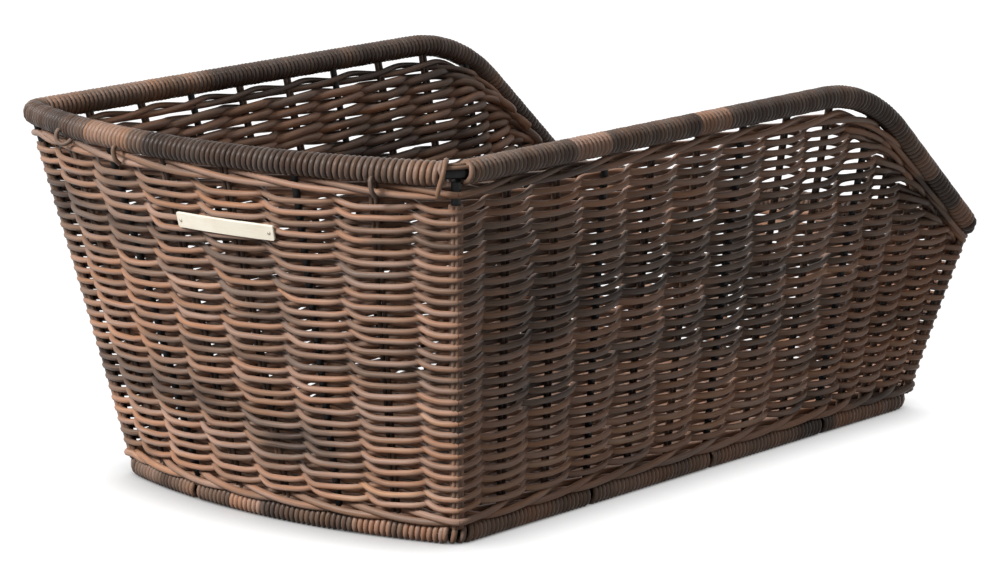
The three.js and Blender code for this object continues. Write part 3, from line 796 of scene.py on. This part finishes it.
def roundedLoop(corners):
    points, marks = [], {}
    for i, (name, point, radius, steps) in enumerate(corners):
        before, after = corners[i - 1][1], corners[(i + 1) % len(corners)][1]
        if not radius:
            points.append(point)
            continue
        arriving, leaving = unit(point - before), unit(after - point)
        turn = math.acos(np.clip(arriving @ leaving, -1, 1))
        inward = unit(leaving - arriving * (leaving @ arriving))
        start = point - arriving * radius * math.tan(turn / 2)
        centre = start + inward * radius
        marks[name] = [len(points), len(points) + steps]
        for k in range(steps + 1):
            angle = turn * k / steps
            points.append(centre - inward * radius * math.cos(angle) + arriving * radius * math.sin(angle))
    return np.array(points), marks


def rearCorners(width, bow, rear, height, radius):
    points = bowPoint(width, bow, rear, height, np.linspace(-1, 1, loopSteps["bow"]))
    corners = [("", p, 0, 0) for p in points]
    corners[0] = ("rearLeft", points[0], radius, loopSteps["corner"])
    corners[-1] = ("rearRight", points[-1], radius, loopSteps["corner"])
    return corners


def rimLoop():
    f = basketForm
    corners = rearCorners(f["rimWidth"], f["rimBow"], f["rimRear"], f["rimHeight"], f["rimCornerRadius"])
    for side, hand in ((1, "Right"), (-1, "Left")):
        x = side * f["rimWidth"] / 2
        peak, front = np.array([[x, f["rimPeak"], f["rimHeight"]], [x, f["rimFront"], f["rimFrontHeight"]]])
        pair = [(f"peak{hand}", peak, f["rimPeakRadius"], loopSteps["peak"]),
                (f"front{hand}", front, f["rimFrontCornerRadius"], loopSteps["corner"])]
        corners += pair[::side]
    return roundedLoop(corners)


def baseLoop():
    f = basketForm
    corners = rearCorners(f["baseWidth"], f["baseBow"], f["baseRear"], f["baseHeight"], f["baseCornerRadius"])
    for side, hand in ((1, "Right"), (-1, "Left")):
        front = np.array([side * f["baseWidth"] / 2, f["baseFront"], f["baseHeight"]])
        corners.append((f"front{hand}", front, f["baseCornerRadius"], loopSteps["corner"]))
    return roundedLoop(corners)


class Loop:
    def __init__(self, points, marks):
        self.points = np.vstack([points, points[:1]])
        self.run = lengthAlong(self.points)
        self.length = self.run[-1]
        self.marks = {name: self.run[ends] for name, ends in marks.items()}

    def at(self, run):
        run = np.asarray(run, float) % self.length
        return np.stack([np.interp(run, self.run, self.points[:, k]) for k in range(3)], -1)

    def frames(self, run):
        tangent = unit(self.at(np.asarray(run) + 1.0) - self.at(np.asarray(run) - 1.0))
        out = unit(np.cross(tangent, [0, 0, 1]))
        return out, np.cross(out, tangent)

    def nearest(self, point):
        runs = np.linspace(0, self.length, loopSteps["search"])
        return runs[np.argmin(np.linalg.norm(self.at(runs) - point, axis=1))]


rim = Loop(*rimLoop())
base = Loop(*baseLoop())

# Windings: one thin strand laid turn by turn round each loop
windings = {
    "pitch": 3.3,
    "strandRadius": 1.66,
    "reach": 4.92,
    "sides": 7,
    "turnSteps": 14,
    "pathStep": 1.2,
    "rimGap": 9.0,
    "weldGap": 2.4,
    "cornerGap": 0.4,
    "toneKnots": 160,
    "toneStep": (9, 26),
    "toneSpread": 0.13,
    "toneRange": (0.05, 0.8),
    "bandEdge": 3.0,
    "seed": 11,
    # Paler bands and stretches, by the loop's length from its rear left corner
    "rim": {
        "tone": 0.22,
        "ground": -1.0,
        "bands": [(87, 126, 0.58), (126, 138, 0.34), (412, 440, 0.68), (517, 543, 0.62), (738, 756, 0.56),
                  (788, 806, 0.64)],
        "drift": ((0, 30, 60, 80, 285, 300, 318, 336, 390, 420, 640, 1310, 1370, 1416, 1462, 1510, 1560, 1590),
                  (0.3, 0.0, -0.14, 0.0, 0.0, 0.25, 0.27, 0.16, 0.14, 0.05, 0.05, 0.05, 0.12, 0.18, 0.08, 0.2,
                   0.34, 0.32)),
    },
    "base": {
        "tone": 0.41,
        "ground": 0.0,
        "bands": [(104, 128, 0.80), (187, 209, 0.68), (215, 243, 0.64), (303, 316, 0.60), (573, 600, 0.66)],
        "drift": ((0, 245, 258, 285, 300, 330, 350, 372, 388, 430, 455, 480, 500, 530, 546, 566, 574, 620, 645, 700),
                  (0, 0, 0.18, 0.1, 0.16, 0.06, 0.04, 0.14, 0.04, 0.14, -0.02, 0.12, 0.12, 0.1, -0.1, -0.1, 0.1,
                   0.16, 0.08, 0)),
    },
}
windRng = np.random.default_rng(windings["seed"])


def windingTone(run, look):
    count, (least, more) = windings["toneKnots"], windings["toneStep"]
    knots = np.cumsum(least + more * windRng.random(count))
    values = np.clip(windRng.normal(look["tone"], windings["toneSpread"], count), *windings["toneRange"])
    tone = np.interp(run, knots, values) + np.interp(run, *look["drift"])
    edge = windings["bandEdge"]
    for first, last, value in look["bands"]:
        inside = smooth((run - first) / edge + 0.5) * smooth((last - run) / edge + 0.5)
        tone = tone * (1 - inside) + value * inside
    return tone


def woundPiece(name, loop, runs, look, replaced):
    points, edges = [], []
    layers = ("pathOut", "pathUp", "pathRun", "strandTone", "strandRadius", "strandSeed")
    fields = {layer: [] for layer in layers}
    tones = np.arange(0, 2 * loop.length, 1.0)
    toneValues = windingTone(tones, look)
    for first, last in runs:
        count = max(int((last - first) / windings["pathStep"]), 4)
        run = np.linspace(first, last, count)
        start = len(points)
        out, up = loop.frames(run)
        points.extend(loop.at(run) * metre)
        edges.extend((start + k, start + k + 1) for k in range(count - 1))
        values = (out, up, run * metre, np.interp(run % loop.length, tones, toneValues),
                  np.full(count, windings["strandRadius"] * metre), np.full(count, windRng.random()))
        for layer, part in zip(layers, values):
            fields[layer].extend(part)
    obj = pathObject(name, points, edges, fields)
    settle(obj, coilTree, {
        "Sides": windings["sides"],
        "Material": windingStrand,
        "Pitch": windings["pitch"] * metre,
        "Reach": windings["reach"] * metre,
        "Step": windings["pitch"] / windings["turnSteps"] * metre,
        "Ground": look["ground"],
    })
    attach(obj, "root")
    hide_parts(*replaced)
    print(name, len(obj.data.polygons), "faces")


def gapAt(place, width):
    return place - width / 2, place + width / 2


rimStart = rim.marks["rearRight"].mean()
openEnd, rimFirst = gapAt(rimStart, windings["rimGap"])
rimNodes = [name for name in nodes if name.startswith("rim_winding")]
woundPiece("rim_winding", rim, [(rimFirst, openEnd + rim.length)], windings["rim"], rimNodes)

baseBreaks = [gapAt(ends.mean(), windings["cornerGap"]) for ends in base.marks.values()]
for wall in wallOrder:
    for k in basketForm["steelStakes"][wall]:
        weld = base.nearest(wallLine(wall, stakeShares(wall)[k])[0])
        baseBreaks.append(gapAt(weld, windings["weldGap"]))
baseBreaks.sort()
baseRuns = [(baseBreaks[k][1], baseBreaks[k + 1][0]) for k in range(len(baseBreaks) - 1)]
baseRuns.append((baseBreaks[-1][1], baseBreaks[0][0] + base.length))
baseNodes = [name for name in nodes if name.startswith("base_winding")]
woundPiece("base_winding", base, baseRuns, windings["base"], baseNodes)

# Lashings: loops that tie the rope of strand to the rim, and the ends of the winding at the open corner
lashings = {
    "radius": 1.3, "sides": 8, "steps": 20,
    # Shapes by their way out, up and along from the rim rod
    "hook": [(3.6, -1.0, 0), (6.7, -2.6, 0), (7.4, -5.4, -0.2), (7.0, -8.0, 0.6), (5.6, -9.4, 2.6),
             (3.4, -8.6, 4.4), (1.0, -6.6, 5.2)],
    "tie": [(3.6, -2.6, 0), (6.2, -4.0, 0.1), (6.6, -7.4, 0.4), (5.6, -10.6, 0.8), (3.2, -13.0, 1.2)],
    "tail": [(-3.4, 5.4, 0.5), (0.6, 6.7, 0.2), (4.6, 5.0, -0.2), (6.7, 0.8, -0.8), (6.9, -4.6, -1.8),
             (6.0, -10.0, -3.0), (4.6, -13.0, -3.8)],
    # The last number of each place is its tone; the ties' lower tones are partly painted shade, for the shade under
    # the rim where they hang
    "places": [("hook", 62.0, 0.40), ("tie", 116.0, 0.36), ("tie", 280.0, 0.34), ("tail", openEnd, 0.52)],
    "coreTurns": (0.85, 1.5),
    "coreReach": 4.1,
    "coreRadius": 1.04,
    "coreSteps": 12,
    "coreLead": 20.0,
    "coreTone": 0.48,
}


def smoothPath(points, steps):
    points = np.asarray(points, float)
    run = lengthAlong(points)
    slope = np.gradient(points, run, axis=0)
    fine = np.linspace(0, run[-1], steps)
    k = np.clip(np.searchsorted(run, fine, side="right") - 1, 0, len(run) - 2)
    gap = (run[k + 1] - run[k])[:, None]
    t = (fine - run[k])[:, None] / gap
    return ((1 + 2 * t) * (1 - t) ** 2 * points[k] + t * (1 - t) ** 2 * gap * slope[k]
            + t * t * (3 - 2 * t) * points[k + 1] + t * t * (t - 1) * gap * slope[k + 1])


def alongLoop(loop, run, shape):
    shape = np.asarray(shape, float)
    out, up = loop.frames(run + shape[:, 2])
    return loop.at(run + shape[:, 2]) + out * shape[:, :1] + up * shape[:, 1:2]


lashPaths = StrandPaths()
for shape, run, tone in lashings["places"]:
    path = smoothPath(alongLoop(rim, run, lashings[shape]), lashings["steps"])
    lashPaths.add(path, lashings["radius"], tone, lengthAlong(path), windRng.random())
coreRun = np.linspace(-windings["rimGap"], windings["rimGap"], lashings["coreSteps"])
for turn in lashings["coreTurns"]:
    reach = lashings["coreReach"]
    shape = np.stack([0 * coreRun + reach * math.cos(turn), 0 * coreRun + reach * math.sin(turn), coreRun], -1)
    lashPaths.add(alongLoop(rim, rimStart, shape), lashings["coreRadius"], lashings["coreTone"],
                  coreRun + lashings["coreLead"], windRng.random())
strandPiece("lashings", lashPaths, windingStrand, lashings["sides"])

# Plate: a bowed strip with rounded corners, held by two domed pins
plate = {
    "share": 0.5 + 18.0 / 296,
    "height": 166.5,
    "width": 62.0,
    "tall": 8.6,
    "thick": 1.2,
    "back": 4.5,
    "corner": 1.3,
    "edge": 0.3,
    "wallLength": 286.0,
    "columns": 25,
    "cornerSteps": 7,
    "colour": (0.74, 0.66, 0.52),
    "pale": (0.86, 0.80, 0.68),
    "roughness": (0.34, 0.5),
    "cloudScale": 70.0,
    "brushScale": (60, 400, 2600),
    "brushShare": 0.4,
    "brushDepth": 0.1,
    "brushHeight": 0.0002,
}
pins = {
    "place": 28.2,
    "radius": 0.95,
    "rise": 0.6,
    "sides": 16,
    "rings": 5,
    "colour": (0.50, 0.44, 0.36),
    "dull": 0.5,
    "spotScale": 1500.0,
    "metallic": 0.8,
    "roughness": 0.38,
}


def platePoint(x, up, out):
    share = plate["share"] + x / plate["wallLength"]
    foot, head = wallLine("rear", share)
    point = wallAt("rear", share, plate["height"])
    return (point + unit(head - foot) * up + wallNormal("rear", share) * (plate["back"] + out)) * metre


def ringFaces(rings, sides):
    faces = []
    for ring in range(rings - 1):
        a, b = ring * sides, (ring + 1) * sides
        faces += [(a + k, a + (k + 1) % sides, b + (k + 1) % sides, b + k) for k in range(sides)]
    return faces


def plateMesh():
    half, tall = plate["width"] / 2, plate["tall"] / 2
    corner, edge, thick = plate["corner"], plate["edge"], plate["thick"]
    ends = half - corner + corner * np.sin(np.linspace(0, math.pi / 2, plate["cornerSteps"])[1:])
    level = np.linspace(corner - half, half - corner, plate["columns"])
    columns = np.concatenate([-ends[::-1], level, ends])
    verts, sides = [], 6  # points round the strip's section
    for x in columns:
        off = max(abs(x) - (half - corner), 0)
        h = tall - corner + math.sqrt(max(corner ** 2 - off ** 2, 0))
        side = thick - edge
        face = side + min(edge, max(half - abs(x), 0))
        for up, out in ((-h, 0), (-h, side), (-h + edge, face), (h - edge, face), (h, side), (h, 0)):
            verts.append(tuple(platePoint(x, up, out)))
    faces = ringFaces(len(columns), sides)
    faces += [tuple(range(sides - 1, -1, -1)), tuple(range(len(verts) - sides, len(verts)))]
    return verts, faces


def pinMesh(x):
    verts, sides, rings = [], pins["sides"], pins["rings"]
    for ring in range(rings):
        angle = math.pi / 2 * ring / rings
        reach = pins["radius"] * math.cos(angle)
        out = plate["thick"] + pins["rise"] * math.sin(angle)
        for k in range(sides):
            turn = 2 * math.pi * k / sides
            verts.append(tuple(platePoint(x + reach * math.cos(turn), reach * math.sin(turn), out)))
    verts.append(tuple(platePoint(x, 0, plate["thick"] + pins["rise"])))
    faces = ringFaces(rings, sides)
    top = (rings - 1) * sides
    faces += [(top + k, top + (k + 1) % sides, len(verts) - 1) for k in range(sides)]
    faces.append(tuple(range(sides - 1, -1, -1)))
    return verts, faces


def plateMaterial():
    material, tree, shader = newMaterial("ivoryPlate")
    place = tree.nodes.new("ShaderNodeTexCoord").outputs["Object"]
    cloud = noise(tree, place, plate["cloudScale"], 5.0, 0.6)
    brush = noise(tree, vectors(tree, "MULTIPLY", place, plate["brushScale"]), 1.0, 4.0)
    share = plate["brushShare"]
    mixed = maths(tree, "ADD", maths(tree, "MULTIPLY", cloud, 1 - share), maths(tree, "MULTIPLY", brush, share))
    tree.links.new(ramp(tree, mixed, [(0.32, plate["colour"]), (0.62, plate["pale"])]), shader.inputs["Base Color"])
    tree.links.new(spread(tree, brush, *plate["roughness"], *noiseRange), shader.inputs["Roughness"])
    bumpFrom(tree, shader, brush, plate["brushDepth"], plate["brushHeight"])
    return material


def pinMaterial():
    material, tree, shader = newMaterial("pinSteel")
    place = tree.nodes.new("ShaderNodeTexCoord").outputs["Object"]
    spots = noise(tree, place, pins["spotScale"], 3.0)
    dull = tuple(c * pins["dull"] for c in pins["colour"])
    tree.links.new(ramp(tree, spots, [(0.35, dull), (0.65, pins["colour"])]), shader.inputs["Base Color"])
    shader.inputs["Metallic"].default_value = pins["metallic"]
    shader.inputs["Roughness"].default_value = pins["roughness"]
    return material


def meshPiece(name, shape, material, replaced):
    mesh = bpy.data.meshes.new(name)
    mesh.from_pydata(shape[0], [], shape[1])
    mesh.materials.append(material)
    obj = linkedObject(name, mesh)
    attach(obj, "root")
    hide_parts(*replaced)
    print(name, len(mesh.polygons), "faces")
    return obj


meshPiece("plate_strip", plateMesh(), plateMaterial(), ["name_plate"])
pinSteel = pinMaterial()
for side, name in ((-1, "left"), (1, "right")):
    pin = meshPiece(f"pin_{name}", pinMesh(side * pins["place"]), pinSteel, [f"plate_pin_{name}"])
    pin.data.shade_smooth()

# Woven floor: rows across, round doubled strands that run lengthwise
floorWeave = {
    "height": 10.9,
    "reach": 1.9,
    "crossing": 1.3,
    "strandRadius": 1.5,
    "rowPitch": 5.4,
    "bays": 7,
    "inset": 5.6,
    "clear": 3.0,
    "sides": 7,
    "stepsPerBay": 8,
    "stakeApart": 1.2,
    "stakeRadius": 1.1,
    "stakeSteps": 30,
    "tone": -0.1,
    "runLead": 300.0,
    "toneLead": 200.0,
}


def floorHalf(y):
    f = basketForm
    radius = f["baseWidth"] ** 2 / (8 * f["baseBow"]) + f["baseBow"] / 2
    off = f["baseRear"] - f["baseBow"] + radius - y
    inner = radius - floorWeave["inset"]
    bowed = np.sqrt(np.maximum(inner ** 2 - np.maximum(off, 0) ** 2, 0)) if off > 0 else 1e9
    return min(f["baseWidth"] / 2 - floorWeave["inset"], bowed)


def addFloorStrand(points, radius, along, height):
    strand = newStrand()
    run = along + floorWeave["runLead"]
    tone = np.clip(strandTone(strand, run, height) + floorWeave["tone"], 0, 1)
    floorPaths.add(np.stack(points, -1), radius, tone, run, strand[2])


floorPaths = StrandPaths()
floorRear = basketForm["baseRear"] - basketForm["baseBow"] + floorWeave["inset"] + floorWeave["clear"]
floorFront = basketForm["baseFront"] - floorWeave["inset"]
bay = (basketForm["baseWidth"] - 2 * floorWeave["inset"]) / floorWeave["bays"]
for y in np.arange(floorRear, floorFront, floorWeave["rowPitch"]):
    half = floorHalf(y)
    if half < bay:
        continue
    x = np.linspace(-half, half, int(2 * half / bay * floorWeave["stepsPerBay"]) + 1)
    for q in (0, 1):
        angle = math.pi * (x / bay + floorWeave["bays"] / 2 + q)
        z = floorWeave["height"] + floorWeave["reach"] * np.cos(angle)
        across = y + floorWeave["crossing"] * np.sin(angle)
        addFloorStrand([x, across, z], floorWeave["strandRadius"], x, y + floorWeave["toneLead"])
for k in range(1, floorWeave["bays"]):
    x = (k - floorWeave["bays"] / 2) * bay
    inside = [y for y in np.arange(floorRear, floorFront, 2.0) if floorHalf(y) > abs(x) + floorWeave["clear"]]
    y = np.linspace(inside[0], floorFront, floorWeave["stakeSteps"])
    for side in (-1, 1):
        points = [0 * y + x + side * floorWeave["stakeApart"], y, 0 * y + floorWeave["height"]]
        addFloorStrand(points, floorWeave["stakeRadius"], y, 0 * y)
strandPiece("weave_floor", floorPaths, weaveStrand, floorWeave["sides"], ["woven_floor"])

# The rods of the frame keep their own shapes
for name, node in nodes.items():
    if name.endswith("rod") or "floor_rod" in name:
        node.data.materials.clear()
        node.data.materials.append(blackSteel)


def aim(obj, direction):
    obj.rotation_euler = Vector(direction).to_track_quat("-Z", "Y").to_euler()


# Camera at the photograph's place
camera = {
    "place": (1.4748, -1.7532, 0.5661),
    "ahead": (-0.6298, 0.7498, -0.2029),
    "lens": 150.0,
    "sensor": 36.0,
    "farthest": 50.0,
}
cameraData = bpy.data.cameras.new("camera")
cameraData.lens = camera["lens"]
cameraData.sensor_width = camera["sensor"]
cameraData.clip_end = camera["farthest"]
cameraObject = linkedObject("camera", cameraData)
cameraObject.location = camera["place"]
aim(cameraObject, camera["ahead"])
bpy.context.scene.camera = cameraObject

# Floor with a painted contact shadow, world and lamp
studio = {
    "key": {"power": 103.0, "place": (-0.5, -2.2, 1.7), "aim": (0, 0, 0.1), "size": 1.0},
    "sky": (0.11, 0.42),  # level and overhead
    "floorHalf": 12.0,
    "floorColour": 0.55,
    "floorGlowAndPaintedShadow": (0.12, 0.95),  # glow level with painted shadow in the corner under the basket, and in the open
    "paintedShadowReach": 0.05,
    "paintedShadowRange": (0.1, 0.8),
}


def lightPath(tree):
    rays = tree.nodes.new("ShaderNodeLightPath").outputs
    seen = maths(tree, "MAXIMUM", rays["Is Camera Ray"], rays["Is Glossy Ray"])
    return maths(tree, "MAXIMUM", seen, rays["Is Transmission Ray"])


def floorMaterial():
    material, tree, shader = newMaterial("paleFloorPaintedShadow")
    tree.nodes.remove(shader)
    out = tree.nodes["Material Output"]
    diffuse = addNode(tree, "ShaderNodeBsdfDiffuse", {"Color": (studio["floorColour"],) * 3 + (1,)})
    # Painted shadow: the floor's glow is dimmed by ambient occlusion near the basket, standing in for its contact
    # shadow
    paintedShadowOcclusion = addNode(tree, "ShaderNodeAmbientOcclusion", {"Distance": studio["paintedShadowReach"]}, samples=16)
    level = spread(tree, paintedShadowOcclusion.outputs["AO"], *studio["floorGlowAndPaintedShadow"], *studio["paintedShadowRange"])
    glowWithPaintedShadow = addNode(tree, "ShaderNodeEmission", {"Strength": maths(tree, "MULTIPLY", lightPath(tree), level)})
    both = addNode(tree, "ShaderNodeAddShader", {0: diffuse.outputs[0], 1: glowWithPaintedShadow.outputs[0]})
    tree.links.new(both.outputs[0], out.inputs["Surface"])
    return material


floorMesh = bpy.data.meshes.new("floor")
half = studio["floorHalf"]
floorMesh.from_pydata([(-half, -half, 0), (half, -half, 0), (half, half, 0), (-half, half, 0)], [], [(0, 1, 2, 3)])
floorMesh.materials.append(floorMaterial())
floorObject = linkedObject("floor", floorMesh)

world = bpy.data.worlds.new("studio")
world.use_nodes = True
bpy.context.scene.world = world
worldTree = world.node_tree
sky = worldTree.nodes["Background"]
towards = worldTree.nodes.new("ShaderNodeTexCoord").outputs["Generated"]
overhead = addNode(worldTree, "ShaderNodeSeparateXYZ", {0: towards}).outputs["Z"]
soft = spread(worldTree, overhead, *studio["sky"])
strength = spread(worldTree, lightPath(worldTree), soft, 1.0)
worldTree.links.new(strength, sky.inputs["Strength"])
sky.inputs["Color"].default_value = (1, 1, 1, 1)

# The key lights all but the floor
key = studio["key"]
keyData = bpy.data.lights.new("key", "AREA")
keyData.energy = key["power"]
keyData.size = key["size"]
keyLamp = linkedObject("key", keyData)
keyLamp.location = key["place"]
aim(keyLamp, Vector(key["aim"]) - keyLamp.location)
keyReceivers = bpy.data.collections.new("keyReceivers")
keyReceivers.objects.link(floorObject)
keyReceivers.collection_objects[0].light_linking.link_state = "EXCLUDE"
keyLamp.light_linking.receiver_collection = keyReceivers

bpy.context.scene.view_settings.view_transform = "Standard"
